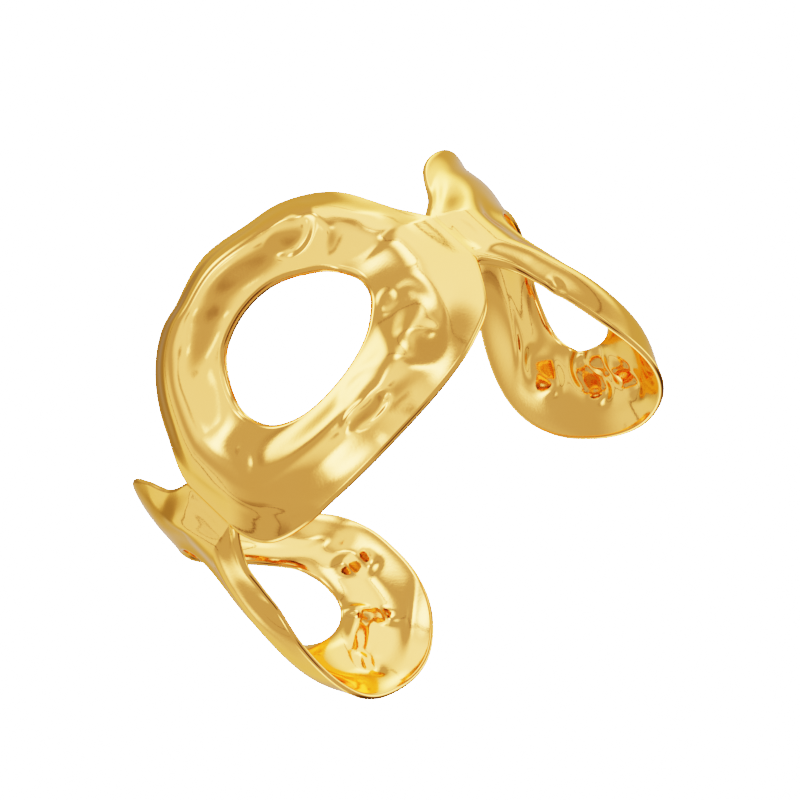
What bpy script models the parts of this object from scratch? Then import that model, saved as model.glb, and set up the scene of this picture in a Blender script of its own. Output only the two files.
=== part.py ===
"""An open cuff bracelet: three hammered oval rings in a row, cast in one piece of brass.

The cuff lies on its side, as it would by itself. Z runs along the wrist, the middle ring faces -Y,
and the gap between the two free ends is at +Y. The origin is at the middle of the cuff's box in X and
Y, level with its lowest rim. A place on the band is given by its arc, measured along the band from the
front towards +X, and by its rise along Z.
"""
import math
from collections import namedtuple

import bmesh
import bpy
import numpy as np

# Bend of the band round the wrist, in metres
FRONT_RADIUS = 0.034
NECK_RADIUS = 0.031
SIDE_RADIUS = 0.0235
BACK_RADIUS = 0.022

# The three rings: length along the band, height along Z, the middle's shift along the band or rise
# along Z, how far a neck lies out or in from the middle ring's end, and each hole with its shift and lift
MIDDLE_LENGTH = 0.0520
MIDDLE_HEIGHT = 0.0450
MIDDLE_SHIFT = 0.0008
MIDDLE_RISE = -0.0009
LEFT_NECK_OUT = 0.0003
RIGHT_NECK_IN = 0.0011
MIDDLE_HOLE_LENGTH = 0.0250
MIDDLE_HOLE_HEIGHT = 0.0197
MIDDLE_HOLE_SHIFT = -0.0003
MIDDLE_HOLE_LIFT = -0.0008
RIGHT_LENGTH = 0.0546
RIGHT_HEIGHT = 0.0450
RIGHT_RISE = -0.0005
RIGHT_HOLE_LENGTH = 0.0300
RIGHT_HOLE_HEIGHT = 0.0190
RIGHT_HOLE_SHIFT = 0.0012
RIGHT_HOLE_LIFT = -0.0015
LEFT_LENGTH = 0.0537
LEFT_HEIGHT = 0.0455
LEFT_RISE = -0.0008
LEFT_HOLE_LENGTH = 0.0300
LEFT_HOLE_HEIGHT = 0.0180
LEFT_HOLE_SHIFT = -0.0014
LEFT_HOLE_LIFT = 0.0

# The wall and its form: the rise between hole and rim, the inward curls, and the joints at the necks
WALL = 0.0017
CROWN = 0.0016
RIM_CURL = 0.0020
MIDDLE_HOLE_CURL = 0.0008
SIDE_HOLE_CURL = -0.0005
MIDDLE_RIM_WALL = 0.0012
SIDE_RIM_WALL = 0.0009
NECK_WIDTH = 0.0106
NECK_FILLET = 0.0060
NECK_EASE = 0.0090
NECK_FILL_RUN = 0.0060
LEFT_NECK_RISE = 0.0002
RIGHT_NECK_RISE = 0.0008
DENT_REACH = 0.0060
DENT_DEPTH = 0.0010
DENT_INSIDE = 0.8
NECK_FILL = 0.0010
LEFT_LIP = 0.0002
RIGHT_LIP = 0.0008
LIP_RUN = 0.0010
LIP_FADE = 0.0080

# Steps of the mesh
NECK_STEPS = 5
ROUND_STEPS = 76
ACROSS_STEPS = 8
EDGE_STEPS = 3
BEND_STEP = 0.0001
MERGE = 0.000001

Lobe = namedtuple("Lobe", "direction rim hole curl crown")
Ring = namedtuple("Ring", "name arc rise length height hole_arc hole_rise hole_length hole_height "
                  "hole_curl rim_wall hole_wall lobes")
Dent = namedtuple("Dent", "ring direction across turn length width depth")
Neck = namedtuple("Neck", "arc rise lip rings")

# Shape of each ring by direction, in degrees from the +X way of the band towards +Z: shares of the
# plain oval's size at the rim and at the hole, of the rim's inward curl, and of the crown
MIDDLE_LOBES = (
    Lobe(0, 1.000, 0.960, 0.4, 1.1),
    Lobe(15, 1.050, 0.980, 0.4, 1.0),
    Lobe(30, 1.100, 1.010, 0.4, 0.9),
    Lobe(45, 1.060, 1.020, 0.4, 0.9),
    Lobe(60, 1.015, 1.020, 0.5, 0.8),
    Lobe(90, 1.005, 0.985, 0.5, 0.7),
    Lobe(120, 1.040, 0.955, 0.5, 0.7),
    Lobe(135, 1.065, 0.945, 0.5, 0.7),
    Lobe(150, 1.090, 0.940, 0.4, 0.7),
    Lobe(180, 1.000, 0.985, 0.3, 0.8),
    Lobe(195, 1.000, 0.960, 0.4, 0.8),
    Lobe(207, 1.040, 0.940, 0.5, 0.9),
    Lobe(220, 1.085, 0.910, 0.6, 1.0),
    Lobe(235, 1.050, 0.910, 0.7, 1.0),
    Lobe(250, 0.975, 0.915, 0.7, 1.1),
    Lobe(270, 0.980, 0.920, 0.7, 1.2),
    Lobe(289, 0.960, 0.930, 0.7, 1.3),
    Lobe(300, 1.010, 0.945, 0.7, 1.3),
    Lobe(315, 1.035, 0.965, 0.7, 1.3),
    Lobe(338, 1.000, 0.935, 0.5, 1.2),
)
RIGHT_LOBES = (
    Lobe(0, 1.005, 0.950, 0.3, 0.5),
    Lobe(30, 1.030, 0.960, 0.3, 0.5),
    Lobe(45, 1.040, 0.960, 0.3, 0.6),
    Lobe(65, 1.015, 0.960, 0.4, 0.7),
    Lobe(90, 1.005, 0.970, 0.5, 0.7),
    Lobe(120, 0.870, 1.000, 0.6, 0.5),
    Lobe(140, 0.790, 0.990, 0.8, 0.5),
    Lobe(160, 0.840, 1.000, 0.5, 0.6),
    Lobe(180, 1.000, 1.000, 0.3, 0.8),
    Lobe(205, 0.900, 1.000, 0.3, 0.6),
    Lobe(220, 0.960, 1.000, 0.3, 0.4),
    Lobe(235, 1.035, 1.000, 0.4, 0.1),
    Lobe(250, 1.000, 1.000, 0.5, 0.0),
    Lobe(270, 0.965, 1.060, 0.6, 0.1),
    Lobe(300, 1.000, 1.160, 0.5, 0.4),
    Lobe(330, 1.060, 1.120, 0.3, 0.5),
    Lobe(345, 1.035, 1.020, 0.3, 0.5),
)
LEFT_LOBES = (
    Lobe(0, 1.000, 1.000, 0.3, 0.8),
    Lobe(25, 0.870, 1.000, 0.4, 0.7),
    Lobe(45, 0.870, 1.000, 0.6, 0.8),
    Lobe(65, 0.965, 1.000, 0.7, 0.8),
    Lobe(90, 1.040, 1.000, 0.6, 0.8),
    Lobe(120, 1.030, 0.970, 0.4, 0.7),
    Lobe(150, 0.990, 0.860, 0.3, 0.5),
    Lobe(165, 0.995, 0.820, 0.3, 0.5),
    Lobe(180, 1.000, 0.810, 0.3, 0.5),
    Lobe(200, 0.995, 0.860, 0.3, 0.5),
    Lobe(225, 0.995, 0.970, 0.4, 0.5),
    Lobe(240, 0.980, 0.970, 0.2, 0.6),
    Lobe(270, 0.970, 1.000, -0.4, 0.7),
    Lobe(290, 0.980, 1.000, -0.8, 0.7),
    Lobe(303, 0.975, 1.000, -0.8, 0.7),
    Lobe(320, 0.980, 1.000, -0.4, 0.8),
    Lobe(338, 0.950, 1.000, 0.1, 0.9),
)

LEFT_NECK = Neck(MIDDLE_SHIFT - MIDDLE_LENGTH / 2 - LEFT_NECK_OUT, LEFT_NECK_RISE, LEFT_LIP,
                 ("left", "middle"))
RIGHT_NECK = Neck(MIDDLE_SHIFT + MIDDLE_LENGTH / 2 - RIGHT_NECK_IN, RIGHT_NECK_RISE, RIGHT_LIP,
                  ("middle", "right"))
NECKS = (LEFT_NECK, RIGHT_NECK)
LEFT = Ring("left", LEFT_NECK.arc - LEFT_LENGTH / 2, LEFT_RISE, LEFT_LENGTH, LEFT_HEIGHT,
            LEFT_HOLE_SHIFT, LEFT_HOLE_LIFT, LEFT_HOLE_LENGTH, LEFT_HOLE_HEIGHT,
            SIDE_HOLE_CURL, SIDE_RIM_WALL, SIDE_RIM_WALL, LEFT_LOBES)
MIDDLE = Ring("middle", MIDDLE_SHIFT, MIDDLE_RISE, MIDDLE_LENGTH, MIDDLE_HEIGHT,
              MIDDLE_HOLE_SHIFT, MIDDLE_HOLE_LIFT, MIDDLE_HOLE_LENGTH, MIDDLE_HOLE_HEIGHT,
              MIDDLE_HOLE_CURL, MIDDLE_RIM_WALL, WALL, MIDDLE_LOBES)
RIGHT = Ring("right", RIGHT_NECK.arc + RIGHT_LENGTH / 2, RIGHT_RISE, RIGHT_LENGTH, RIGHT_HEIGHT,
             RIGHT_HOLE_SHIFT, RIGHT_HOLE_LIFT, RIGHT_HOLE_LENGTH, RIGHT_HOLE_HEIGHT,
             SIDE_HOLE_CURL, SIDE_RIM_WALL, SIDE_RIM_WALL, RIGHT_LOBES)
RINGS = (LEFT, MIDDLE, RIGHT)

# Dents struck from the outside and bumps left between them: where on which ring, by direction and by
# share of the way from hole to rim, the turn of the long side in degrees, and shares of the dents' size
DENTS = (
    Dent("middle", 235, 0.50, 60, 0.50, 0.45, -0.80),
    Dent("middle", 217, 0.50, 50, 0.70, 0.22, 0.35),
    Dent("middle", 202, 0.50, -50, 0.75, 0.50, -0.70),
    Dent("middle", 161, 0.32, 0, 0.45, 0.42, -0.60),
    Dent("middle", 135, 0.42, 0, 0.45, 0.42, -0.70),
    Dent("middle", 148, 0.45, 50, 1.00, 0.60, -0.40),
    Dent("middle", 86, 0.52, 0, 0.55, 0.40, -0.45),
    Dent("middle", 18, 0.33, 70, 0.35, 0.18, -0.30),
    Dent("middle", 283, 0.45, 20, 0.50, 0.40, -0.35),
    Dent("middle", 306, 0.60, 40, 0.70, 0.50, 0.35),
    Dent("middle", 330, 0.60, 60, 0.60, 0.45, -0.30),
    Dent("left", 184, 0.45, 90, 0.40, 0.30, -0.80),
    Dent("left", 153, 0.40, 60, 0.35, 0.25, -0.80),
    Dent("left", 123, 0.45, 40, 0.40, 0.25, -0.80),
    Dent("left", 202, 0.55, 70, 0.70, 0.25, -0.50),
    Dent("left", 330, 0.50, 50, 0.60, 0.35, -0.50),
    Dent("left", 50, 0.50, -30, 0.70, 0.40, 0.40),
    Dent("right", 352, 0.55, 0, 0.35, 0.25, -0.60),
    Dent("right", 17, 0.35, 60, 0.50, 0.20, -0.70),
    Dent("right", 33, 0.30, -30, 0.40, 0.20, -0.60),
    Dent("right", 58, 0.50, 30, 0.30, 0.20, -0.50),
    Dent("right", 330, 0.45, 60, 0.50, 0.35, 0.40),
)


def ease(share):
    """Rise smoothly from 0 to 1 as the share does."""
    held = np.clip(share, 0.0, 1.0)
    return held * held * (3.0 - 2.0 * held)


class Bend:
    """The curve that the band follows round the wrist, seen along Z."""

    def __init__(self):
        self.ways = {}
        for sign, ring in ((1, RIGHT), (-1, LEFT)):
            rows = (
                (0.0, FRONT_RADIUS),
                (abs(ring.arc) - ring.length / 2, NECK_RADIUS),
                (abs(ring.arc), SIDE_RADIUS),
                (abs(ring.arc) + ring.length / 2, BACK_RADIUS),
                (abs(ring.arc) + ring.length, BACK_RADIUS),
            )
            self.ways[sign] = self.walk(rows)

    @staticmethod
    def walk(rows):
        """Walk along the bend from the front, easing from each row's curvature to the next."""
        arcs = np.arange(0.0, rows[-1][0], BEND_STEP)
        curvature = np.full_like(arcs, 1.0 / rows[-1][1])
        for (start, first), (end, last) in zip(rows[:-1], rows[1:]):
            here = (arcs >= start) & (arcs <= end)
            share = ease((arcs[here] - start) / (end - start))
            curvature[here] = 1.0 / first + (1.0 / last - 1.0 / first) * share
        turn = np.concatenate(([0.0], np.cumsum(curvature[1:] + curvature[:-1]) * BEND_STEP / 2))
        across = np.concatenate(([0.0], np.cumsum(np.cos(turn[1:]) + np.cos(turn[:-1])) * BEND_STEP / 2))
        back = np.concatenate(([0.0], np.cumsum(np.sin(turn[1:]) + np.sin(turn[:-1])) * BEND_STEP / 2))
        return arcs, across, back, turn

    def place(self, arc, rise, lift):
        """Give the point at an arc and a rise, lifted off the band's plain surface."""
        sign = 1 if arc >= 0 else -1
        arcs, across, back, turn = self.ways[sign]
        x = sign * np.interp(abs(arc), arcs, across)
        y = np.interp(abs(arc), arcs, back)
        angle = sign * np.interp(abs(arc), arcs, turn)
        return x + lift * math.sin(angle), y - lift * math.cos(angle), rise


def lobe_share(ring, column, direction):
    """Read a column of the ring's table at a direction, on a smooth closed curve through its rows."""
    angles = [lobe.direction for lobe in ring.lobes]
    values = [getattr(lobe, column) for lobe in ring.lobes]
    count = len(angles)
    direction = direction % 360.0
    here = max(index for index in range(count) if angles[index] <= direction)

    def row(index):
        return angles[index % count] + 360.0 * (index // count), values[index % count]

    (a0, v0), (a1, v1), (a2, v2), (a3, v3) = (row(here + shift) for shift in (-1, 0, 1, 2))
    slope_in = (v2 - v0) / (a2 - a0)
    slope_out = (v3 - v1) / (a3 - a1)
    span = a2 - a1
    t = (direction - a1) / span
    return ((2 * t**3 - 3 * t**2 + 1) * v1 + (t**3 - 2 * t**2 + t) * span * slope_in
            + (3 * t**2 - 2 * t**3) * v2 + (t**3 - t**2) * span * slope_out)


def oval(length, height, direction):
    """Radius of a plain oval at a direction."""
    angle = math.radians(direction)
    return length * height / 2 / math.hypot(height * math.cos(angle), length * math.sin(angle))


def hole_point(ring, direction):
    """Edge of the hole at a direction."""
    radius = oval(ring.hole_length, ring.hole_height, direction) * lobe_share(ring, "hole", direction)
    radius += WALL / 2
    angle = math.radians(direction)
    return (ring.arc + ring.hole_arc + radius * math.cos(angle),
            ring.rise + ring.hole_rise + radius * math.sin(angle))


def neck_ends(neck):
    """The two ends of a neck's joint line, lower first, where the rims of the two rings meet."""
    reach = (NECK_WIDTH - WALL) / 2
    return (neck.arc, neck.rise - reach), (neck.arc, neck.rise + reach)


def direction_of(ring, point):
    """Direction of a point from the ring's middle, in degrees."""
    return math.degrees(math.atan2(point[1] - ring.rise, point[0] - ring.arc)) % 360.0


def ring_necks(ring):
    """The necks that the ring joins, each with the directions of the joint line's start and end."""
    found = []
    for neck in NECKS:
        if ring.name not in neck.rings:
            continue
        low, high = neck_ends(neck)
        ends = (low, high) if neck.arc > ring.arc else (high, low)
        found.append((neck, ends, direction_of(ring, ends[0]), direction_of(ring, ends[1])))
    return found


def rim_point(ring, direction, necks):
    """Edge of the ring's flat wall at a direction, drawn out to the necks' ends by a fillet."""
    radius = oval(ring.length, ring.height, direction) * lobe_share(ring, "rim", direction) - WALL / 2
    for _, ends, start, end in necks:
        for point, way, edge in ((ends[0], -1, start), (ends[1], 1, end)):
            reach = math.hypot(point[0] - ring.arc, point[1] - ring.rise)
            plain = oval(ring.length, ring.height, edge) * lobe_share(ring, "rim", edge) - WALL / 2
            away = math.radians(way * ((direction - edge + 180.0) % 360.0 - 180.0)) * reach
            share = 1.0 - away / NECK_FILLET
            if 0.0 <= share <= 1.0 + 1e-9:
                radius += (reach - plain) * share**2
    angle = math.radians(direction)
    return ring.arc + radius * math.cos(angle), ring.rise + radius * math.sin(angle)


def ring_columns(ring):
    """List the ring's columns: hole point, rim point, and share of freedom from the necks."""
    necks = ring_necks(ring)
    columns = []
    free_spans = []
    for index, (neck, ends, start, end) in enumerate(necks):
        following = necks[(index + 1) % len(necks)][2]
        free_spans.append((end, end + (following - end) % 360.0))
    free_steps = (ROUND_STEPS - NECK_STEPS * len(necks)) // len(necks)
    for (neck, ends, start, end), (span_start, span_end) in zip(necks, free_spans):
        for step in range(NECK_STEPS):
            share = step / NECK_STEPS
            rim = tuple(ends[0][k] + (ends[1][k] - ends[0][k]) * share for k in (0, 1))
            columns.append((hole_point(ring, direction_of(ring, rim)), rim, 0.0, direction_of(ring, rim)))
        for step in range(free_steps):
            direction = span_start + (span_end - span_start) * step / free_steps
            rim = ends[1] if step == 0 else rim_point(ring, direction, necks)
            near = min(direction - span_start, span_end - direction)
            free = float(ease(math.radians(near) * ring.length / 2 / NECK_EASE))
            columns.append((hole_point(ring, direction), rim, free, direction))
    return columns


def dent_lift(dents, arc, rise):
    """Sum of the dents and bumps at a place on the band."""
    total = 0.0
    for centre, turn, length, width, depth in dents:
        along = (arc - centre[0]) * math.cos(turn) + (rise - centre[1]) * math.sin(turn)
        aside = (rise - centre[1]) * math.cos(turn) - (arc - centre[0]) * math.sin(turn)
        total += depth * math.exp(-(along / length)**2 - (aside / width)**2)
    return total


def placed_dents():
    """Work out where each dent of the table lies on the band."""
    placed = []
    by_name = {ring.name: ring for ring in RINGS}
    for dent in DENTS:
        ring = by_name[dent.ring]
        hole = hole_point(ring, dent.direction)
        rim = rim_point(ring, dent.direction, ())
        centre = tuple(hole[k] + (rim[k] - hole[k]) * dent.across for k in (0, 1))
        placed.append((centre, math.radians(dent.turn), dent.length * DENT_REACH,
                       dent.width * DENT_REACH, dent.depth * DENT_DEPTH))
    return placed


def neck_lift(arc):
    """Fill of the valley between two crowns at the necks."""
    return sum(NECK_FILL * math.exp(-((arc - neck.arc) / NECK_FILL_RUN)**2) for neck in NECKS)


def lip_drop(arc):
    """Drop of a side ring's skin below the lip of the middle ring, which lies over it at a neck."""
    drop = 0.0
    for neck in NECKS:
        past = (arc - neck.arc) * math.copysign(1.0, neck.arc)
        drop += neck.lip * float(ease(past / LIP_RUN) * (1.0 - ease(past / LIP_FADE)))
    return drop


def sheet_mesh(bend):
    """Make the plain form of the three rings as one sheet, joined along the two necks."""
    sheet = bmesh.new()
    arc_of = sheet.verts.layers.float.new("arc")
    rise_of = sheet.verts.layers.float.new("rise")
    wall_of = sheet.verts.layers.float.new("wall")
    shares = []
    for step in range(ACROSS_STEPS + 1):
        even = step / ACROSS_STEPS
        shares.append((even + (1 - math.cos(math.pi * even)) / 2) / 2)
    for ring in RINGS:
        grid = []
        for hole, rim, free, direction in ring_columns(ring):
            curl = RIM_CURL * lobe_share(ring, "curl", direction) * free
            crown = CROWN * lobe_share(ring, "crown", direction)
            row = []
            for share in shares:
                arc, rise = (hole[k] + (rim[k] - hole[k]) * share for k in (0, 1))
                lift = crown * math.sin(math.pi * share)**2 + neck_lift(arc)
                lift -= curl * share**4 + ring.hole_curl * (1 - share)**4
                thinned = (WALL - ring.rim_wall) * free * share**4 + (WALL - ring.hole_wall) * (1 - share)**4
                vert = sheet.verts.new(bend.place(arc, rise, lift))
                vert[arc_of] = arc
                vert[rise_of] = rise
                vert[wall_of] = WALL - thinned
                row.append(vert)
            grid.append(row)
        for here, following in zip(grid, grid[1:] + grid[:1]):
            for step in range(ACROSS_STEPS):
                sheet.faces.new((here[step], here[step + 1], following[step + 1], following[step]))
    bmesh.ops.remove_doubles(sheet, verts=sheet.verts, dist=MERGE)
    sheet.normal_update()
    return sheet


def thicken(sheet):
    """Give the sheet its wall and its dents, with a half-round edge along every free rim."""
    arc_of = sheet.verts.layers.float["arc"]
    rise_of = sheet.verts.layers.float["rise"]
    wall_of = sheet.verts.layers.float["wall"]
    dents = placed_dents()
    outer = list(sheet.verts)
    faces = list(sheet.faces)
    rims = [edge for edge in sheet.edges if edge.is_boundary]
    normals = {vert: vert.normal.copy() for vert in outer}
    outward = {}
    for edge in rims:
        loop = edge.link_loops[0]
        run = (loop.link_loop_next.vert.co - loop.vert.co).normalized()
        for vert in edge.verts:
            outward[vert] = outward.get(vert, run * 0) + run.cross(normals[vert])
    inner = {}
    for vert in outer:
        dent = dent_lift(dents, vert[arc_of], vert[rise_of])
        inner[vert] = sheet.verts.new(vert.co - (vert[wall_of] - DENT_INSIDE * dent) * normals[vert])
        vert.co += (dent - lip_drop(vert[arc_of])) * normals[vert]
    bows = {}
    for vert, way in outward.items():
        half = (vert.co - inner[vert].co) / 2
        reach = way.normalized() * half.length
        bow = [vert]
        for step in range(1, EDGE_STEPS):
            angle = math.pi * step / EDGE_STEPS
            middle = inner[vert].co + half
            bow.append(sheet.verts.new(middle + math.cos(angle) * half + math.sin(angle) * reach))
        bows[vert] = bow + [inner[vert]]
    for edge in rims:
        loop = edge.link_loops[0]
        first, second = bows[loop.link_loop_next.vert], bows[loop.vert]
        for step in range(EDGE_STEPS):
            sheet.faces.new((first[step], second[step], second[step + 1], first[step + 1]))
    for face in faces:
        sheet.faces.new([inner[vert] for vert in reversed(face.verts)])


def polished_brass():
    """Mirror-bright gold plate over the cast brass."""
    material = bpy.data.materials.new("polished_brass")
    material.use_nodes = True
    shader = material.node_tree.nodes["Principled BSDF"]
    shader.inputs["Base Color"].default_value = (0.90, 0.62, 0.22, 1.0)
    shader.inputs["Metallic"].default_value = 1.0
    shader.inputs["Roughness"].default_value = 0.08
    return material


def make_cuff():
    """Build the cuff as one closed solid and set it down on its side."""
    solid = sheet_mesh(Bend())
    thicken(solid)
    low = [min(vert.co[axis] for vert in solid.verts) for axis in range(3)]
    high = [max(vert.co[axis] for vert in solid.verts) for axis in range(3)]
    for vert in solid.verts:
        vert.co.x -= (low[0] + high[0]) / 2
        vert.co.y -= (low[1] + high[1]) / 2
        vert.co.z -= low[2]
    mesh = bpy.data.meshes.new("cuff")
    solid.to_mesh(mesh)
    solid.free()
    mesh.shade_smooth()
    mesh.materials.append(polished_brass())
    cuff = bpy.data.objects.new("cuff", mesh)
    bpy.context.scene.collection.objects.link(cuff)
    return cuff


for old in list(bpy.data.objects):
    bpy.data.objects.remove(old)
make_cuff()
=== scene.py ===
"""A polished gold cuff bracelet, lying on its side in a plain studio.

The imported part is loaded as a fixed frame. The cuff's own solid gives its place and collision, and
the cuff that is seen replaces it: the same form drawn finely, with the dents of the hammer.
"""
from __future__ import annotations

import logging
import math
from dataclasses import dataclass
from enum import Enum

import bmesh
import bpy
import numpy as np
from mathutils import Matrix, Vector

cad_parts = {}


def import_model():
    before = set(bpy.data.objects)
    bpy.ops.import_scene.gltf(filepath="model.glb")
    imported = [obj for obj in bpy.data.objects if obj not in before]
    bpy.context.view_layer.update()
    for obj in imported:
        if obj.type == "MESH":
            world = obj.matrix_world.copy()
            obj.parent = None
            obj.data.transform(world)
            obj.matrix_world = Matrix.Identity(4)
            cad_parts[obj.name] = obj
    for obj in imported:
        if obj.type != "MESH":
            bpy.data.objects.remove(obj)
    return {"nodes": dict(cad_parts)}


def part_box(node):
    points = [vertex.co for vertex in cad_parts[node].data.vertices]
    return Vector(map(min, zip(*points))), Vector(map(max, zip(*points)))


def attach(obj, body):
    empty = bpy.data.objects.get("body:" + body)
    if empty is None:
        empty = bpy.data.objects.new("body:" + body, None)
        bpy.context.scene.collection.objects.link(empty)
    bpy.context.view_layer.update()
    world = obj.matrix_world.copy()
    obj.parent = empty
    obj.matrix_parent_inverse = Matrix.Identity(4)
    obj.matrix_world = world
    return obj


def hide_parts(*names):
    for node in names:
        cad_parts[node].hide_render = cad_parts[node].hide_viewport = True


LOG = logging.getLogger("cuff")
FULL_TURN = 360.0
HALF_TURN = 180.0
MM_PER_METRE = 1000
WHITE = (1.0, 1.0, 1.0, 1.0)
BLACK = (0.0, 0.0, 0.0, 1.0)


@dataclass(frozen=True)
class Lobe:
    """Shape of a ring at one direction, in degrees from the +X way of the band towards +Z.

    The rest are shares: of the plain oval's size at the rim and at the hole, of the rim's inward
    curl, and of the crown.
    """

    direction: float
    rim: float
    hole: float
    curl: float
    crown: float


@dataclass(frozen=True)
class Neck:
    """Joint line between two rings, by its place on the band and the height of the lip over it."""

    arc: float
    rise: float
    lip: float
    rings: tuple[str, str]


@dataclass(frozen=True)
class Ring:
    """One oval ring of the band, laid flat, in metres."""

    name: str
    arc: float
    rise: float
    length: float
    height: float
    hole_arc: float
    hole_rise: float
    hole_length: float
    hole_height: float
    hole_curl: float
    rim_wall: float
    hole_wall: float
    round_steps: int
    across_steps: int
    lobes: tuple[Lobe, ...]

    def share(self, column: str, direction: float) -> float:
        """Read a column of the ring's lobes on a smooth closed curve through its rows.

        Args:
            column: name of the Lobe field.
            direction: degrees from the +X way of the band.

        Returns:
            The share at that direction.
        """
        angles = [lobe.direction for lobe in self.lobes]
        values = [getattr(lobe, column) for lobe in self.lobes]
        count = len(angles)
        direction = direction % FULL_TURN
        here = max(index for index in range(count) if angles[index] <= direction)
        rows = [
            (angles[index % count] + FULL_TURN * (index // count), values[index % count])
            for index in range(here - 1, here + 3)
        ]
        (a0, v0), (a1, v1), (a2, v2), (a3, v3) = rows
        slope_in = (v2 - v0) / (a2 - a0)
        slope_out = (v3 - v1) / (a3 - a1)
        span = a2 - a1
        t = (direction - a1) / span
        return (
            (2 * t**3 - 3 * t**2 + 1) * v1
            + (t**3 - 2 * t**2 + t) * span * slope_in
            + (3 * t**2 - 2 * t**3) * v2
            + (t**3 - t**2) * span * slope_out
        )

    def direction_of(self, point: tuple[float, float]) -> float:
        """Direction of a point from the ring's middle, in degrees."""
        return math.degrees(math.atan2(point[1] - self.rise, point[0] - self.arc)) % FULL_TURN


class MarkForm(Enum):
    """How steeply the side of a struck mark falls away, as a power of the distance."""

    SOFT = 2
    ROUND = 4
    FLAT = 6


@dataclass(frozen=True)
class Mark:
    """A dent (below zero) or bump left by the hammer on the band.

    Its middle is given by arc and rise, with its length, width and depth, all in millimetres. Turn
    is that of the long side, in degrees. Its floor rises by slope towards way, in degrees.
    """

    arc: float
    rise: float
    turn: float
    length: float
    width: float
    depth: float
    form: MarkForm = MarkForm.SOFT
    slope: float = 0.0
    way: float = 0.0


@dataclass(frozen=True)
class BandSizes:
    """Sizes of the bent band, in metres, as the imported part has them.

    The inner share is the share of a mark's height that is pressed through to the inner skin, and
    the step counts set how finely the necks and the half-round edges are drawn.
    """

    front_radius: float = 0.034
    neck_radius: float = 0.031
    side_radius: float = 0.0235
    back_radius: float = 0.022
    bend_step: float = 0.0001
    wall: float = 0.0017
    crown: float = 0.0016
    rim_curl: float = 0.0020
    neck_width: float = 0.0106
    neck_fillet: float = 0.0060
    neck_ease: float = 0.0090
    neck_fill: float = 0.0010
    neck_fill_run: float = 0.0060
    lip_run: float = 0.0010
    lip_fade: float = 0.0080
    neck_steps: int = 24
    edge_steps: int = 6
    inner_share: float = 0.8
    merge: float = 0.000001
    rounding: float = 1e-9


MIDDLE_LOBES = (
    Lobe(0, 1.000, 0.960, 0.4, 1.1),
    Lobe(15, 1.050, 0.980, 0.4, 1.0),
    Lobe(30, 1.100, 1.010, 0.4, 0.9),
    Lobe(45, 1.060, 1.020, 0.4, 0.9),
    Lobe(60, 1.015, 1.020, 0.5, 0.8),
    Lobe(90, 1.005, 0.985, 0.5, 0.7),
    Lobe(120, 1.040, 0.955, 0.5, 0.7),
    Lobe(135, 1.065, 0.945, 0.5, 0.7),
    Lobe(150, 1.090, 0.940, 0.4, 0.7),
    Lobe(180, 1.000, 0.985, 0.3, 0.8),
    Lobe(195, 1.000, 0.960, 0.4, 0.8),
    Lobe(207, 1.040, 0.940, 0.5, 0.9),
    Lobe(220, 1.085, 0.910, 0.6, 1.0),
    Lobe(235, 1.050, 0.910, 0.7, 1.0),
    Lobe(250, 0.975, 0.915, 0.7, 1.1),
    Lobe(270, 0.980, 0.920, 0.7, 1.2),
    Lobe(289, 0.960, 0.930, 0.7, 1.3),
    Lobe(300, 1.010, 0.945, 0.7, 1.3),
    Lobe(315, 1.035, 0.965, 0.7, 1.3),
    Lobe(338, 1.000, 0.935, 0.5, 1.2),
)
RIGHT_LOBES = (
    Lobe(0, 1.005, 0.950, 0.3, 0.5),
    Lobe(30, 1.030, 0.960, 0.3, 0.5),
    Lobe(45, 1.040, 0.960, 0.3, 0.6),
    Lobe(65, 1.015, 0.960, 0.4, 0.7),
    Lobe(90, 1.005, 0.970, 0.5, 0.7),
    Lobe(120, 0.870, 1.000, 0.6, 0.5),
    Lobe(140, 0.790, 0.990, 0.8, 0.5),
    Lobe(160, 0.840, 1.000, 0.5, 0.6),
    Lobe(180, 1.000, 1.000, 0.3, 0.8),
    Lobe(205, 0.900, 1.000, 0.3, 0.6),
    Lobe(220, 0.960, 1.000, 0.3, 0.4),
    Lobe(235, 1.035, 1.000, 0.4, 0.1),
    Lobe(250, 1.000, 1.000, 0.5, 0.0),
    Lobe(270, 0.965, 1.060, 0.6, 0.1),
    Lobe(300, 1.000, 1.160, 0.5, 0.4),
    Lobe(330, 1.060, 1.120, 0.3, 0.5),
    Lobe(345, 1.035, 1.020, 0.3, 0.5),
)
LEFT_LOBES = (
    Lobe(0, 1.000, 1.000, 0.3, 0.8),
    Lobe(25, 0.870, 1.000, 0.4, 0.7),
    Lobe(45, 0.870, 1.000, 0.6, 0.8),
    Lobe(65, 0.965, 1.000, 0.7, 0.8),
    Lobe(90, 1.040, 1.000, 0.6, 0.8),
    Lobe(120, 1.030, 0.970, 0.4, 0.7),
    Lobe(150, 0.990, 0.860, 0.3, 0.5),
    Lobe(165, 0.995, 0.820, 0.3, 0.5),
    Lobe(180, 1.000, 0.810, 0.3, 0.5),
    Lobe(200, 0.995, 0.860, 0.3, 0.5),
    Lobe(225, 0.995, 0.970, 0.4, 0.5),
    Lobe(240, 0.980, 0.970, 0.2, 0.6),
    Lobe(270, 0.970, 1.000, -0.4, 0.7),
    Lobe(290, 0.980, 1.000, -0.8, 0.7),
    Lobe(303, 0.975, 1.000, -0.8, 0.7),
    Lobe(320, 0.980, 1.000, -0.4, 0.8),
    Lobe(338, 0.950, 1.000, 0.1, 0.9),
)

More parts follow.
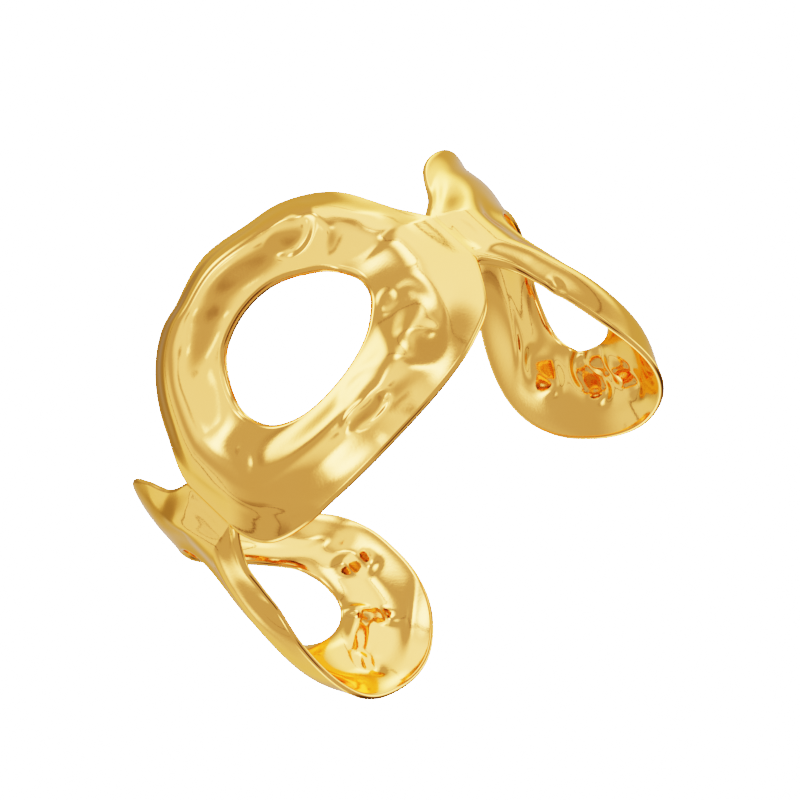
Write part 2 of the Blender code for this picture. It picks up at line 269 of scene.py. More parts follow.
LEFT_NECK = Neck(-0.0255, 0.0002, 0.0002, ("left", "middle"))
RIGHT_NECK = Neck(0.0257, 0.0008, 0.0008, ("middle", "right"))
NECKS = (LEFT_NECK, RIGHT_NECK)
LEFT = Ring(
    name="left",
    arc=-0.05235,
    rise=-0.0008,
    length=0.0537,
    height=0.0455,
    hole_arc=-0.0014,
    hole_rise=0.0,
    hole_length=0.0300,
    hole_height=0.0180,
    hole_curl=-0.0005,
    rim_wall=0.0009,
    hole_wall=0.0009,
    round_steps=232,
    across_steps=44,
    lobes=LEFT_LOBES,
)
MIDDLE = Ring(
    name="middle",
    arc=0.0008,
    rise=-0.0009,
    length=0.0520,
    height=0.0450,
    hole_arc=-0.0003,
    hole_rise=-0.0008,
    hole_length=0.0250,
    hole_height=0.0197,
    hole_curl=0.0008,
    rim_wall=0.0012,
    hole_wall=0.0017,
    round_steps=368,
    across_steps=60,
    lobes=MIDDLE_LOBES,
)
RIGHT = Ring(
    name="right",
    arc=0.0530,
    rise=-0.0005,
    length=0.0546,
    height=0.0450,
    hole_arc=0.0012,
    hole_rise=-0.0015,
    hole_length=0.0300,
    hole_height=0.0190,
    hole_curl=-0.0005,
    rim_wall=0.0009,
    hole_wall=0.0009,
    round_steps=232,
    across_steps=44,
    lobes=RIGHT_LOBES,
)
RINGS = (LEFT, MIDDLE, RIGHT)

# Marks of the middle ring, of the side rings beside the necks, and of the side rings' far ends,
# where they are seen from inside the cuff.
MIDDLE_MARKS = (
    Mark(-9.3, -13.4, 0, 3.1, 2.5, -0.35, MarkForm.FLAT, 0.22, -90),
    Mark(-12.2, -15.8, 60, 1.6, 1.0, -0.20),
    Mark(-13.4, -13.0, 85, 3.2, 0.8, 0.20),
    Mark(-12.5, -9.4, 50, 2.0, 0.8, 0.12),
    Mark(-16.2, -6.2, 170, 4.8, 3.0, -0.32, MarkForm.ROUND),
    Mark(-18.5, -4.6, 0, 1.0, 0.6, -0.12),
    Mark(-12.0, 10.2, 65, 6.6, 3.8, -0.45, MarkForm.FLAT),
    Mark(-10.2, 10.8, 0, 1.9, 1.8, 0.24),
    Mark(-12.7, 13.2, 0, 1.2, 1.1, 0.16),
    Mark(-12.0, 4.2, 60, 1.8, 1.3, 0.16, MarkForm.ROUND),
    Mark(-13.8, 5.8, 0, 1.2, 1.0, 0.12),
    Mark(0.9, 16.2, 172, 3.4, 1.5, -0.12, MarkForm.FLAT, 0.26, -66),
    Mark(-0.9, 13.0, 0, 3.2, 2.4, -0.22, MarkForm.ROUND),
    Mark(16.4, 4.2, 75, 2.2, 1.0, 0.14, MarkForm.ROUND),
    Mark(4.5, -15.5, 10, 4.5, 2.0, -0.30),
    Mark(4.8, -12.6, 0, 1.1, 1.1, -0.12),
    Mark(11.5, -10.2, 30, 2.6, 1.7, -0.22),
    Mark(1.5, -14.0, 175, 4.4, 2.0, -0.30),
    Mark(11.4, -14.2, 20, 3.0, 2.0, -0.32),
    Mark(16.2, -1.6, 80, 3.4, 2.0, -0.25),
    Mark(14.6, 13.6, 140, 4.0, 2.4, -0.30),
    Mark(-3.0, 18.0, 0, 3.4, 1.4, -0.20),
    Mark(21.5, 5.0, 100, 7.0, 0.9, 0.12),
    Mark(18.5, 12.0, 120, 5.0, 0.9, 0.12),
)
NECK_MARKS = (
    Mark(-28.0, 0.4, 85, 3.4, 1.3, -0.30, MarkForm.ROUND),
    Mark(-30.2, -8.8, 49, 4.5, 0.8, 0.25),
    Mark(-36.0, -4.5, 60, 3.6, 1.6, -0.40),
    Mark(-36.0, 11.7, 80, 1.3, 1.0, -0.25, MarkForm.ROUND),
    Mark(33.0, -4.0, 112, 8.0, 0.8, 0.20),
    Mark(30.0, -1.0, 100, 5.0, 2.0, -0.25, MarkForm.ROUND),
    Mark(38.7, 12.0, 60, 2.6, 1.1, -0.35),
)
RIGHT_MARKS = (
    Mark(74.5, -3.6, 27, 3.0, 2.0, -0.12, MarkForm.ROUND, 0.42, 40),
    Mark(70.3, 5.4, 54, 3.4, 1.5, -0.10, MarkForm.ROUND, 0.36, 40),
    Mark(66.5, 7.4, 136, 4.0, 1.5, -0.10, MarkForm.ROUND, 0.36, 40),
    Mark(63.5, 13.6, 92, 2.8, 1.4, -0.10, MarkForm.ROUND, 0.40, 40),
    Mark(73.9, -9.3, 0, 4.5, 1.6, -0.35),
    Mark(75.0, 9.2, 133, 6.0, 0.8, -0.20),
)
LEFT_MARKS = (
    Mark(-71.4, -1.7, 120, 3.6, 2.9, -0.20, MarkForm.ROUND, 0.40, 90),
    Mark(-66.9, 6.6, 110, 3.8, 2.4, -0.20, MarkForm.ROUND, 0.54, 90),
    Mark(-63.5, 7.5, 100, 2.8, 1.7, -0.20, MarkForm.ROUND, 0.50, 90),
    Mark(-62.3, 12.9, 92, 3.6, 2.0, -0.20, MarkForm.ROUND, 0.48, 90),
    Mark(-70.6, -8.2, 143, 4.0, 0.6, -0.30),
)
MARKS = MIDDLE_MARKS + NECK_MARKS + RIGHT_MARKS + LEFT_MARKS


def ease(share: float) -> float:
    """Rise smoothly from 0 to 1 as the share does."""
    held = min(max(share, 0.0), 1.0)
    return held * held * (3.0 - 2.0 * held)


class Bend:
    """The curve that the band follows round the wrist, seen along Z."""

    def __init__(self, sizes: BandSizes) -> None:
        """Walk along both ways of the band from the front.

        Args:
            sizes: sizes of the band.
        """
        self.step = sizes.bend_step
        self.ways: dict[int, tuple[np.ndarray, ...]] = {}
        for sign, ring in ((1, RIGHT), (-1, LEFT)):
            rows = (
                (0.0, sizes.front_radius),
                (abs(ring.arc) - ring.length / 2, sizes.neck_radius),
                (abs(ring.arc), sizes.side_radius),
                (abs(ring.arc) + ring.length / 2, sizes.back_radius),
                (abs(ring.arc) + ring.length, sizes.back_radius),
            )
            self.ways[sign] = self.walk(rows)

    def walk(self, rows: tuple[tuple[float, float], ...]) -> tuple[np.ndarray, ...]:
        """Walk along the bend, easing from each row's curvature to the next.

        Args:
            rows: arc and bend radius pairs from the front outwards.

        Returns:
            Arrays of distance across, distance back and turn, at even steps of the arc.
        """
        arcs = np.arange(0.0, rows[-1][0], self.step)
        curvature = np.full_like(arcs, 1.0 / rows[-1][1])
        for (start, first), (end, last) in zip(rows[:-1], rows[1:]):
            here = (arcs >= start) & (arcs <= end)
            share = np.clip((arcs[here] - start) / (end - start), 0.0, 1.0)
            share = share * share * (3.0 - 2.0 * share)
            curvature[here] = 1.0 / first + (1.0 / last - 1.0 / first) * share
        half = self.step / 2
        turn = np.concatenate(([0.0], np.cumsum(curvature[1:] + curvature[:-1]) * half))
        across = np.concatenate(([0.0], np.cumsum(np.cos(turn[1:]) + np.cos(turn[:-1])) * half))
        back = np.concatenate(([0.0], np.cumsum(np.sin(turn[1:]) + np.sin(turn[:-1])) * half))
        return across, back, turn

    def place(self, arc: float, rise: float, lift: float) -> tuple[float, float, float]:
        """Place a point of the flat band on the bend.

        Args:
            arc: distance along the band from the front, in metres.
            rise: distance up the band's breadth.
            lift: height off the band's plain surface.

        Returns:
            The point in the frame of the cuff.
        """
        sign = 1 if arc >= 0 else -1
        across, back, turn = self.ways[sign]
        spot = abs(arc) / self.step
        index = int(spot)
        part = spot - index
        x = sign * (across[index] + (across[index + 1] - across[index]) * part)
        y = back[index] + (back[index + 1] - back[index]) * part
        angle = sign * (turn[index] + (turn[index + 1] - turn[index]) * part)
        return x + lift * math.sin(angle), y - lift * math.cos(angle), rise


class Outline:
    """Edges of a ring laid flat: its hole, and its rim drawn out to the necks."""

    def __init__(self, ring: Ring, sizes: BandSizes) -> None:
        """Find the necks that the ring joins.

        Args:
            ring: the ring.
            sizes: sizes of the band.
        """
        self.ring = ring
        self.sizes = sizes
        self.joints = []
        reach = (sizes.neck_width - sizes.wall) / 2
        for neck in NECKS:
            if ring.name not in neck.rings:
                continue
            low, high = (neck.arc, neck.rise - reach), (neck.arc, neck.rise + reach)
            ends = (low, high) if neck.arc > ring.arc else (high, low)
            self.joints.append((ends, ring.direction_of(ends[0]), ring.direction_of(ends[1])))

    @staticmethod
    def oval(length: float, height: float, direction: float) -> float:
        """Find the radius of a plain oval at a direction.

        Args:
            length: length of the oval along the band.
            height: height of the oval across it.
            direction: degrees from the +X way of the band.

        Returns:
            The radius.
        """
        angle = math.radians(direction)
        reach = math.hypot(height * math.cos(angle), length * math.sin(angle))
        return length * height / 2 / reach

    def hole(self, direction: float) -> tuple[float, float]:
        """Find the edge of the hole at a direction.

        Args:
            direction: degrees from the +X way of the band.

        Returns:
            Arc and rise of the edge.
        """
        ring = self.ring
        plain = self.oval(ring.hole_length, ring.hole_height, direction)
        radius = plain * ring.share("hole", direction)
        radius += self.sizes.wall / 2
        angle = math.radians(direction)
        return (
            ring.arc + ring.hole_arc + radius * math.cos(angle),
            ring.rise + ring.hole_rise + radius * math.sin(angle),
        )

    def plain_rim(self, direction: float) -> float:
        """Find the radius of the rim away from the necks, half a wall inside its round edge.

        Args:
            direction: degrees from the +X way of the band.

        Returns:
            The radius.
        """
        ring = self.ring
        plain = self.oval(ring.length, ring.height, direction) * ring.share("rim", direction)
        return plain - self.sizes.wall / 2

    def rim(self, direction: float) -> tuple[float, float]:
        """Find the edge of the rim at a direction, drawn out in fillets to the necks' ends.

        Args:
            direction: degrees from the +X way of the band.

        Returns:
            Arc and rise of the edge.
        """
        ring = self.ring
        radius = self.plain_rim(direction)
        for ends, start, end in self.joints:
            for point, way, edge in ((ends[0], -1, start), (ends[1], 1, end)):
                reach = math.hypot(point[0] - ring.arc, point[1] - ring.rise)
                past = (direction - edge + HALF_TURN) % FULL_TURN - HALF_TURN
                away = math.radians(way * past) * reach
                share = 1.0 - away / self.sizes.neck_fillet
                if 0.0 <= share <= 1.0 + self.sizes.rounding:
                    radius += (reach - self.plain_rim(edge)) * share**2
        angle = math.radians(direction)
        return ring.arc + radius * math.cos(angle), ring.rise + radius * math.sin(angle)

    def columns(self) -> list[tuple[tuple[float, float], tuple[float, float], float, float]]:
        """List the columns round the ring.

        Returns:
            Hole point, rim point, share of freedom from the necks, and direction of each column.
        """
        found = []
        steps = self.sizes.neck_steps
        free_steps = (self.ring.round_steps - steps * len(self.joints)) // len(self.joints)
        for index, (ends, start, end) in enumerate(self.joints):
            for step in range(steps):
                share = step / steps
                rim = tuple(ends[0][k] + (ends[1][k] - ends[0][k]) * share for k in (0, 1))
                direction = self.ring.direction_of(rim)
                found.append((self.hole(direction), rim, 0.0, direction))
            following = self.joints[(index + 1) % len(self.joints)][1]
            span = (following - end) % FULL_TURN
            for step in range(free_steps):
                direction = end + span * step / free_steps
                rim = ends[1] if step == 0 else self.rim(direction)
                near = min(direction - end, end + span - direction)
                reach = math.radians(near) * self.ring.length / 2
                free = ease(reach / self.sizes.neck_ease)
                found.append((self.hole(direction), rim, free, direction))
        return found


@dataclass(frozen=True)
class MarkSet:
    """The struck marks of the band, as its outer skin shows them."""

    marks: tuple[Mark, ...] = MARKS

    def lift(self, arcs: np.ndarray, rises: np.ndarray) -> np.ndarray:
        """Sum the marks over the band.

        Args:
            arcs: arc of each point.
            rises: rise of each point.

        Returns:
            Height of the marks at each point.
        """
        total = np.zeros_like(arcs)
        for mark in self.marks:
            turn = math.radians(mark.turn)
            across = arcs * MM_PER_METRE - mark.arc
            up = rises * MM_PER_METRE - mark.rise
            along = across * math.cos(turn) + up * math.sin(turn)
            aside = up * math.cos(turn) - across * math.sin(turn)
            reach = (along / mark.length) ** 2 + (aside / mark.width) ** 2
            way = math.radians(mark.way)
            floor = mark.depth + mark.slope * (across * math.cos(way) + up * math.sin(way))
            total += floor / MM_PER_METRE * np.exp(-(reach ** (mark.form.value / 2)))
        return total


@dataclass(frozen=True)
class PolishedGold:
    """Mirror-polished gold plate, with the faint grain that the polishing wheel leaves.

    Its tone wanders slowly between light and deep, and edge is its colour at a glancing view.
    """

    light: tuple[float, float, float] = (0.95, 0.43, 0.12)
    deep: tuple[float, float, float] = (0.94, 0.40, 0.10)
    edge: tuple[float, float, float] = (1.0, 0.80, 0.48)
    tone_scale: float = 90.0
    tone_detail: float = 3.0
    roughness: float = 0.06
    grain_roughness: float = 0.05
    grain_scale: float = 2500.0
    grain_detail: float = 2.0
    grain_depth: float = 0.000004

    def material(self) -> bpy.types.Material:
        """Build the material.

        Returns:
            The material, ready for the cuff's slot.
        """
        made = bpy.data.materials.new("polished_gold")
        made.use_nodes = True
        tree = made.node_tree
        shader = tree.nodes["Principled BSDF"]
        shader.inputs["Metallic"].default_value = 1.0
        shader.inputs["Specular Tint"].default_value = (*self.edge, 1.0)
        place = tree.nodes.new("ShaderNodeTexCoord")
        tone = tree.nodes.new("ShaderNodeTexNoise")
        tone.inputs["Scale"].default_value = self.tone_scale
        tone.inputs["Detail"].default_value = self.tone_detail
        tree.links.new(place.outputs["Object"], tone.inputs["Vector"])
        colour = tree.nodes.new("ShaderNodeMix")
        colour.data_type = "RGBA"
        colour.inputs["A"].default_value = (*self.deep, 1.0)
        colour.inputs["B"].default_value = (*self.light, 1.0)
        tree.links.new(tone.outputs["Fac"], colour.inputs["Factor"])
        tree.links.new(colour.outputs["Result"], shader.inputs["Base Color"])
        grain = tree.nodes.new("ShaderNodeTexNoise")
        grain.inputs["Scale"].default_value = self.grain_scale
        grain.inputs["Detail"].default_value = self.grain_detail
        tree.links.new(place.outputs["Object"], grain.inputs["Vector"])
        gloss = tree.nodes.new("ShaderNodeMapRange")
        gloss.inputs["To Min"].default_value = self.roughness
        gloss.inputs["To Max"].default_value = self.roughness + self.grain_roughness
        tree.links.new(grain.outputs["Fac"], gloss.inputs["Value"])
        tree.links.new(gloss.outputs["Result"], shader.inputs["Roughness"])
        bump = tree.nodes.new("ShaderNodeBump")
        bump.inputs["Distance"].default_value = self.grain_depth
        tree.links.new(grain.outputs["Fac"], bump.inputs["Height"])
        tree.links.new(bump.outputs["Normal"], shader.inputs["Normal"])
        return made


@dataclass
class Cuff:
    """The whole cuff: three rings as one closed skin."""

    sizes: BandSizes = BandSizes()
    marks: MarkSet = MarkSet()
    finish: PolishedGold = PolishedGold()
    name: str = "cuff_polished"

    def __post_init__(self) -> None:
        """Prepare the bend and the rings' outlines."""
        self.bend = Bend(self.sizes)
        self.outlines = {ring.name: Outline(ring, self.sizes) for ring in RINGS}

    def neck_lift(self, arc: float) -> float:
        """Fill of the valley between two crowns at the necks."""
        return sum(
            self.sizes.neck_fill * math.exp(-((arc - neck.arc) / self.sizes.neck_fill_run) ** 2)
            for neck in NECKS
        )

    def lip_drop(self, arc: float) -> float:
        """Find how far a side ring's skin lies below the lip of the middle ring at a neck.

        Args:
            arc: distance along the band from the front, in metres.

        Returns:
            The drop.
        """
        drop = 0.0
        for neck in NECKS:
            past = (arc - neck.arc) * math.copysign(1.0, neck.arc)
            fade = 1.0 - ease(past / self.sizes.lip_fade)
            drop += neck.lip * ease(past / self.sizes.lip_run) * fade
        return drop

    def sheet(self) -> tuple[bmesh.types.BMesh, dict[str, bmesh.types.BMLayerItem]]:
        """Make the plain form of the three rings as one sheet, joined along the necks.

        Returns:
            The sheet, and the layers that hold each vertex's arc, rise and wall.
        """
        sizes = self.sizes
        sheet = bmesh.new()
        layers = {name: sheet.verts.layers.float.new(name) for name in ("arc", "rise", "wall")}
        for ring in RINGS:
            shares = []
            for step in range(ring.across_steps + 1):
                even = step / ring.across_steps
                shares.append((even + (1 - math.cos(math.pi * even)) / 2) / 2)
            grid = []
            for hole, rim, free, direction in self.outlines[ring.name].columns():
                curl = sizes.rim_curl * ring.share("curl", direction) * free
                crown = sizes.crown * ring.share("crown", direction)
                row = []
                for share in shares:
                    arc, rise = (hole[k] + (rim[k] - hole[k]) * share for k in (0, 1))
                    lift = crown * math.sin(math.pi * share) ** 2 + self.neck_lift(arc)
                    lift -= curl * share**4 + ring.hole_curl * (1 - share) ** 4
                    thinned = (sizes.wall - ring.rim_wall) * free * share**4
                    thinned += (sizes.wall - ring.hole_wall) * (1 - share) ** 4
                    vert = sheet.verts.new(self.bend.place(arc, rise, lift))
                    for layer, value in zip(layers.values(), (arc, rise, sizes.wall - thinned)):
                        vert[layer] = value
                    row.append(vert)
                grid.append(row)
            for here, following in zip(grid, grid[1:] + grid[:1]):
                for step in range(ring.across_steps):
                    sheet.faces.new(
                        (here[step], here[step + 1], following[step + 1], following[step])
                    )
        bmesh.ops.remove_doubles(sheet, verts=sheet.verts, dist=sizes.merge)
        sheet.normal_update()
        return sheet, layers

    def thicken(
        self, sheet: bmesh.types.BMesh, layers: dict[str, bmesh.types.BMLayerItem]
    ) -> None:
        """Give the sheet its wall and marks, with a half-round edge along every free rim.

        Args:
            sheet: the plain sheet.
            layers: the layers that hold each vertex's arc, rise and wall.
        """
        outer = list(sheet.verts)
        faces = list(sheet.faces)
        rims = [edge for edge in sheet.edges if edge.is_boundary]
        normals = {vert: vert.normal.copy() for vert in outer}
        outward = {}
        for edge in rims:
            loop = edge.link_loops[0]
            run = (loop.link_loop_next.vert.co - loop.vert.co).normalized()
            for vert in edge.verts:
                outward[vert] = outward.get(vert, run * 0) + run.cross(normals[vert])
        arcs = np.array([vert[layers["arc"]] for vert in outer])
        rises = np.array([vert[layers["rise"]] for vert in outer])
        lifts = self.marks.lift(arcs, rises)
        inner = {}
        for vert, lift in zip(outer, lifts.tolist()):
            depth = vert[layers["wall"]] - self.sizes.inner_share * lift
            inner[vert] = sheet.verts.new(vert.co - depth * normals[vert])
            vert.co += (lift - self.lip_drop(vert[layers["arc"]])) * normals[vert]
        steps = self.sizes.edge_steps
        bows = {}
        for vert, way in outward.items():
            half = (vert.co - inner[vert].co) / 2
            reach = way.normalized() * half.length
            middle = inner[vert].co + half
            bow = [vert]
            for step in range(1, steps):
                angle = math.pi * step / steps
                point = middle + math.cos(angle) * half + math.sin(angle) * reach
                bow.append(sheet.verts.new(point))
            bows[vert] = bow + [inner[vert]]
        for edge in rims:
            loop = edge.link_loops[0]
            first, second = bows[loop.link_loop_next.vert], bows[loop.vert]
            for step in range(steps):
                sheet.faces.new((first[step], second[step], second[step + 1], first[step + 1]))
        for face in faces:
            sheet.faces.new([inner[vert] for vert in reversed(face.verts)])

    def fit(self, mesh: bpy.types.Mesh) -> np.ndarray:
        """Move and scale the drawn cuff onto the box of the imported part's solid.

        Args:
            mesh: the drawn cuff.

        Returns:
            The scale along each axis.
        """
        low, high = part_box("cuff")
        low, high = np.array(low), np.array(high)
        points = np.empty(len(mesh.vertices) * 3)
        mesh.vertices.foreach_get("co", points)
        points = points.reshape(-1, 3)
        start, end = points.min(axis=0), points.max(axis=0)
        points = low + (points - start) * (high - low) / (end - start)
        mesh.vertices.foreach_set("co", points.ravel())
        return (high - low) / (end - start)

    def build(self) -> bpy.types.Object:
        """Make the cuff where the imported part's own solid lies, and let it stand for that solid.

        Returns:
            The cuff.
        """
        sheet, layers = self.sheet()
        self.thicken(sheet, layers)
        mesh = bpy.data.meshes.new(self.name)
        sheet.to_mesh(mesh)
        sheet.free()
        scale = self.fit(mesh)
        mesh.shade_smooth()
        mesh.materials.append(self.finish.material())
        cuff = bpy.data.objects.new(self.name, mesh)
        bpy.context.scene.collection.objects.link(cuff)
        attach(cuff, "root")
        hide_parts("cuff")
        LOG.info("%s: %d faces, fitted by %s", cuff.name, len(mesh.polygons), scale)
        return cuff


@dataclass(frozen=True)
class Card:
    """A bright or dark card of the studio, facing the cuff.

    Azimuth is in degrees from the front towards +X, elevation in degrees above the cuff's middle,
    and turn that of the card in its own plane. Width and height are its half sizes over the
    distance, edge is the share of them over which it fades, and gain is the light it gives off.
    """

    azimuth: float
    elevation: float
    turn: float
    width: float
    height: float
    edge: float
    gain: float
    distance: float = 1.0


# Broad soft light, the bright bands and the small spots and shades on the middle ring, the dark
# above and behind, light for the side rings, and strips that draw thin brown lines.
BROAD_CARDS = (
    Card(-88, -33, 0, 0.85, 0.50, 0.50, 2.6),
    Card(2, -12, 0, 1.20, 0.60, 0.70, 1.8),
)
BAND_CARDS = (
    Card(-104, -42, 0, 0.35, 0.12, 0.90, 5.5, 0.95),
    Card(-44, 1, 0, 0.28, 0.12, 0.90, 6.5, 0.95),
    Card(34, 10, 0, 0.40, 0.12, 0.90, 7.0, 0.95),
    Card(0, -34, 0, 0.30, 0.16, 0.90, 6.5, 0.95),
    Card(-37, -36, 0, 0.20, 0.16, 0.90, 6.5, 0.95),
    Card(3, -70, 0, 0.32, 0.24, 0.90, 5.5, 0.95),
)
SMALL_CARDS = (
    Card(-44, -13, 0, 0.20, 0.18, 0.70, 0.60, 0.93),
    Card(9, 6, 0, 0.09, 0.09, 0.90, 4.0, 0.94),
    Card(0, -18, 0, 0.11, 0.10, 0.90, 4.0, 0.94),
    Card(-13, 3, 0, 0.10, 0.13, 0.90, 0.65, 0.93),
    Card(18, -14, 0, 0.10, 0.14, 0.90, 0.65, 0.93),
    Card(0, 29, 0, 0.26, 0.16, 0.90, 0.38, 0.93),
    Card(22, -58, 0, 0.18, 0.12, 0.90, 0.50, 0.93),
    Card(70, -18, 0, 0.14, 0.28, 0.90, 0.40, 0.93),
)
DARK_CARDS = (
    Card(-5, 64, 0, 0.55, 0.38, 0.60, 0.10, 0.92),
    Card(180, 32, 0, 0.75, 0.65, 0.70, 0.07, 0.92),
)
SIDE_CARDS = (
    Card(-82, 10, 0, 0.15, 0.25, 0.90, 3.0, 0.95),
    Card(115, 10, 0, 0.50, 0.42, 0.60, 3.8, 0.95),
    Card(-125, 12, 0, 0.45, 0.36, 0.60, 3.4, 0.95),
    Card(125, -22, 0, 0.60, 0.25, 0.60, 1.2, 0.97),
    Card(92, -42, 0, 0.60, 0.34, 0.60, 1.35, 0.98),
    Card(150, -58, 0, 0.50, 0.30, 0.60, 0.35, 0.97),
)
DARK_STRIPS = (
    Card(73, -15, 0, 0.012, 0.6, 0.50, 0.20, 0.9),
    Card(-45, -35, 30, 0.014, 1.0, 0.50, 0.25, 0.9),
    Card(88, -45, 0, 0.02, 0.9, 0.50, 0.15, 0.9),
    Card(-98, -20, 0, 0.02, 0.9, 0.50, 0.25, 0.9),
)
CARDS = BROAD_CARDS + BAND_CARDS + SMALL_CARDS + DARK_CARDS + SIDE_CARDS + DARK_STRIPS


@dataclass(frozen=True)
class Studio:
    """Plain pale floor and soft light all round.

    Base is the even light that the metal reflects between the cards, and seen base is what the
    camera sees behind the floor.
    """

    cards: tuple[Card, ...] = CARDS
    middle_height: float = 0.0225
    base: float = 0.68
    seen_base: float = 20.0
    floor_size: float = 4.0
    floor_tone: float = 0.85
    floor_roughness: float = 0.9
    floor_glow: float = 20.0
    transform: str = "Filmic"
    look: str = "High Contrast"

    @staticmethod
    def square(name: str, half: float, paper: bpy.types.Material) -> bpy.types.Object:
        """Lay a flat square round the origin.

        Args:
            name: name of the object and its mesh.
            half: half its side.
            paper: its material.

        Returns:
            The square.
        """
        corners = [(-half, -half, 0), (half, -half, 0), (half, half, 0), (-half, half, 0)]
        mesh = bpy.data.meshes.new(name)
        mesh.from_pydata(corners, [], [(0, 1, 2, 3)])
        mesh.materials.append(paper)
        laid = bpy.data.objects.new(name, mesh)
        bpy.context.scene.collection.objects.link(laid)
        return laid

    @staticmethod
    def fade_group() -> bpy.types.NodeTree:
        """Build the node group that is 1 in the middle of a card and fades to 0 along its edge.

        Returns:
            The node group.
        """
        group = bpy.data.node_groups.new("card_fade", "ShaderNodeTree")
        group.interface.new_socket("Place", in_out="INPUT", socket_type="NodeSocketVector")
        group.interface.new_socket("Edge", in_out="INPUT", socket_type="NodeSocketFloat")
        group.interface.new_socket("Mask", in_out="OUTPUT", socket_type="NodeSocketFloat")
        given = group.nodes.new("NodeGroupInput")
        put = group.nodes.new("NodeGroupOutput")
        split = group.nodes.new("ShaderNodeSeparateXYZ")
        group.links.new(given.outputs["Place"], split.inputs["Vector"])
        start = group.nodes.new("ShaderNodeMath")
        start.operation = "SUBTRACT"
        start.inputs[0].default_value = 1.0
        group.links.new(given.outputs["Edge"], start.inputs[1])
        both = group.nodes.new("ShaderNodeMath")
        both.operation = "MULTIPLY"
        for factor, axis in zip(both.inputs, ("X", "Y")):
            spread = group.nodes.new("ShaderNodeMath")
            spread.operation = "ABSOLUTE"
            group.links.new(split.outputs[axis], spread.inputs[0])
            share = group.nodes.new("ShaderNodeMapRange")
            share.interpolation_type = "SMOOTHSTEP"
            share.inputs["From Max"].default_value = 1.0
            share.inputs["To Min"].default_value = 1.0
            share.inputs["To Max"].default_value = 0.0
            group.links.new(spread.outputs[0], share.inputs["Value"])
            group.links.new(start.outputs[0], share.inputs["From Min"])
            group.links.new(share.outputs["Result"], factor)
        group.links.new(both.outputs[0], put.inputs["Mask"])
        return group

    @staticmethod
    def card_paper(name: str, card: Card, fade: bpy.types.NodeTree) -> bpy.types.Material:
        """Build the glowing paper of a card.

        Args:
            name: name of the material.
            card: the card.
            fade: the node group of its edge.

        Returns:
            The material.
        """
        paper = bpy.data.materials.new(name)
        paper.use_nodes = True
        tree = paper.node_tree
        shader = tree.nodes["Principled BSDF"]
        shader.inputs["Base Color"].default_value = BLACK
        shader.inputs["Specular IOR Level"].default_value = 0.0
        shader.inputs["Roughness"].default_value = 1.0
        shader.inputs["Emission Color"].default_value = WHITE
        shader.inputs["Emission Strength"].default_value = card.gain
        place = tree.nodes.new("ShaderNodeTexCoord")
        mask = tree.nodes.new("ShaderNodeGroup")
        mask.node_tree = fade
        mask.inputs["Edge"].default_value = card.edge
        tree.links.new(place.outputs["Object"], mask.inputs["Place"])
        tree.links.new(mask.outputs["Mask"], shader.inputs["Alpha"])
        return paper

    def hang(self, name: str, card: Card, fade: bpy.types.NodeTree) -> bpy.types.Object:
        """Hang one card round the cuff, where only reflections show it.

        Args:
            name: name of the card.
            card: the card.
            fade: the node group of its edge.

        Returns:
            The card's object.
        """
        azimuth, elevation = math.radians(card.azimuth), math.radians(card.elevation)
        turn = math.radians(card.turn)
        flat = math.cos(elevation)
        middle = Vector((
            math.sin(azimuth) * flat, -math.cos(azimuth) * flat, math.sin(elevation)
        ))
        level = Vector((math.cos(azimuth), math.sin(azimuth), 0.0))
        above = middle.cross(level)
        side = level * math.cos(turn) + above * math.sin(turn)
        up = above * math.cos(turn) - level * math.sin(turn)
        across, along = side * card.width * card.distance, up * card.height * card.distance
        turned = Matrix((across, along, middle)).transposed().to_4x4()
        turned.translation = middle * card.distance + Vector((0.0, 0.0, self.middle_height))
        hung = self.square(name, 1, self.card_paper(name, card, fade))
        hung.matrix_world = turned
        hung.visible_camera = False
        hung.visible_diffuse = False
        hung.visible_shadow = False
        return hung

    def light(self) -> None:
        """Hang the cards and surround the scene with the base light."""
        fade = self.fade_group()
        for index, card in enumerate(self.cards):
            hung = self.hang(f"card_{index}", card, fade)
            LOG.info("%s: hung at %s, light %s", hung.name, card.azimuth, card.gain)
        world = bpy.data.worlds.new("studio")
        bpy.context.scene.world = world
        world.use_nodes = True
        tree = world.node_tree
        back = tree.nodes["Background"]
        back.inputs["Color"].default_value = WHITE
        path = tree.nodes.new("ShaderNodeLightPath")
        seen = tree.nodes.new("ShaderNodeMix")
        seen.inputs["A"].default_value = self.base
        seen.inputs["B"].default_value = self.seen_base
        tree.links.new(path.outputs["Is Camera Ray"], seen.inputs["Factor"])
        tree.links.new(seen.outputs["Result"], back.inputs["Strength"])
        bpy.context.scene.view_settings.view_transform = self.transform
        bpy.context.scene.view_settings.look = self.look

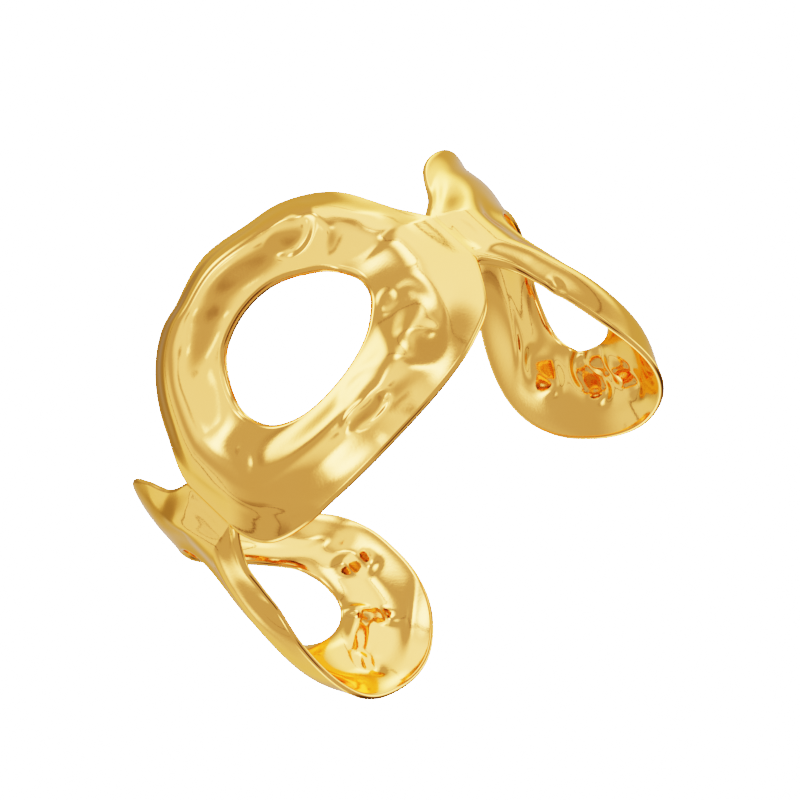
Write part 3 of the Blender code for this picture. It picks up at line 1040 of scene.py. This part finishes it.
    def floor(self) -> bpy.types.Object:
        """Lay the plain pale floor under the cuff.

        Returns:
            The floor.
        """
        paper = bpy.data.materials.new("pale_floor")
        paper.use_nodes = True
        shader = paper.node_tree.nodes["Principled BSDF"]
        shader.inputs["Base Color"].default_value = (*(self.floor_tone,) * 3, 1.0)
        shader.inputs["Roughness"].default_value = self.floor_roughness
        shader.inputs["Emission Color"].default_value = WHITE
        shader.inputs["Emission Strength"].default_value = self.floor_glow
        floor = self.square("floor", self.floor_size / 2, paper)
        floor.visible_glossy = False
        floor.visible_shadow = False
        LOG.info("%s: %s m square", floor.name, self.floor_size)
        return floor


@dataclass(frozen=True)
class PhotoCamera:
    """The camera at the photograph's own angle to the cuff.

    The target, a point of the scene, stands at the middle that is given in pixels of the frame.
    """

    elevation: float = 36.0
    roll: float = -132.8
    distance: float = 0.9
    target: tuple[float, float, float] = (0.0003, 0.0032, 0.0225)
    pixels_per_metre: float = 7470.0
    middle: tuple[float, float] = (391.5, 425.5)
    frame: float = 800.0
    sensor: float = 36.0

    def place(self) -> bpy.types.Object:
        """Create the camera and make it the scene's own.

        Returns:
            The camera.
        """
        lift, roll = math.radians(self.elevation), math.radians(self.roll)
        back = Vector((0.0, -math.cos(lift), math.sin(lift)))
        level = Vector((1.0, 0.0, 0.0))
        above = back.cross(level)
        right = level * math.cos(roll) - above * math.sin(roll)
        up = level * math.sin(roll) + above * math.cos(roll)
        lens = bpy.data.cameras.new("photo_camera")
        lens.sensor_width = self.sensor
        lens.lens = self.pixels_per_metre * self.distance / self.frame * self.sensor
        lens.shift_x = 0.5 - self.middle[0] / self.frame
        lens.shift_y = self.middle[1] / self.frame - 0.5
        camera = bpy.data.objects.new("photo_camera", lens)
        bpy.context.scene.collection.objects.link(camera)
        turned = Matrix((right, up, back)).transposed().to_4x4()
        turned.translation = Vector(self.target) + back * self.distance
        camera.matrix_world = turned
        bpy.context.scene.camera = camera
        LOG.info("%s: lens of %.0f mm", camera.name, lens.lens)
        return camera


def main() -> None:
    """Place the camera, set up the studio and build the cuff."""
    logging.basicConfig(level=logging.INFO, format="%(name)s: %(message)s")
    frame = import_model()
    LOG.info("frame: %d nodes loaded", len(frame["nodes"]))
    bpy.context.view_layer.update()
    PhotoCamera().place()
    studio = Studio()
    studio.floor()
    studio.light()
    Cuff().build()


if __name__ == "__main__":
    main()
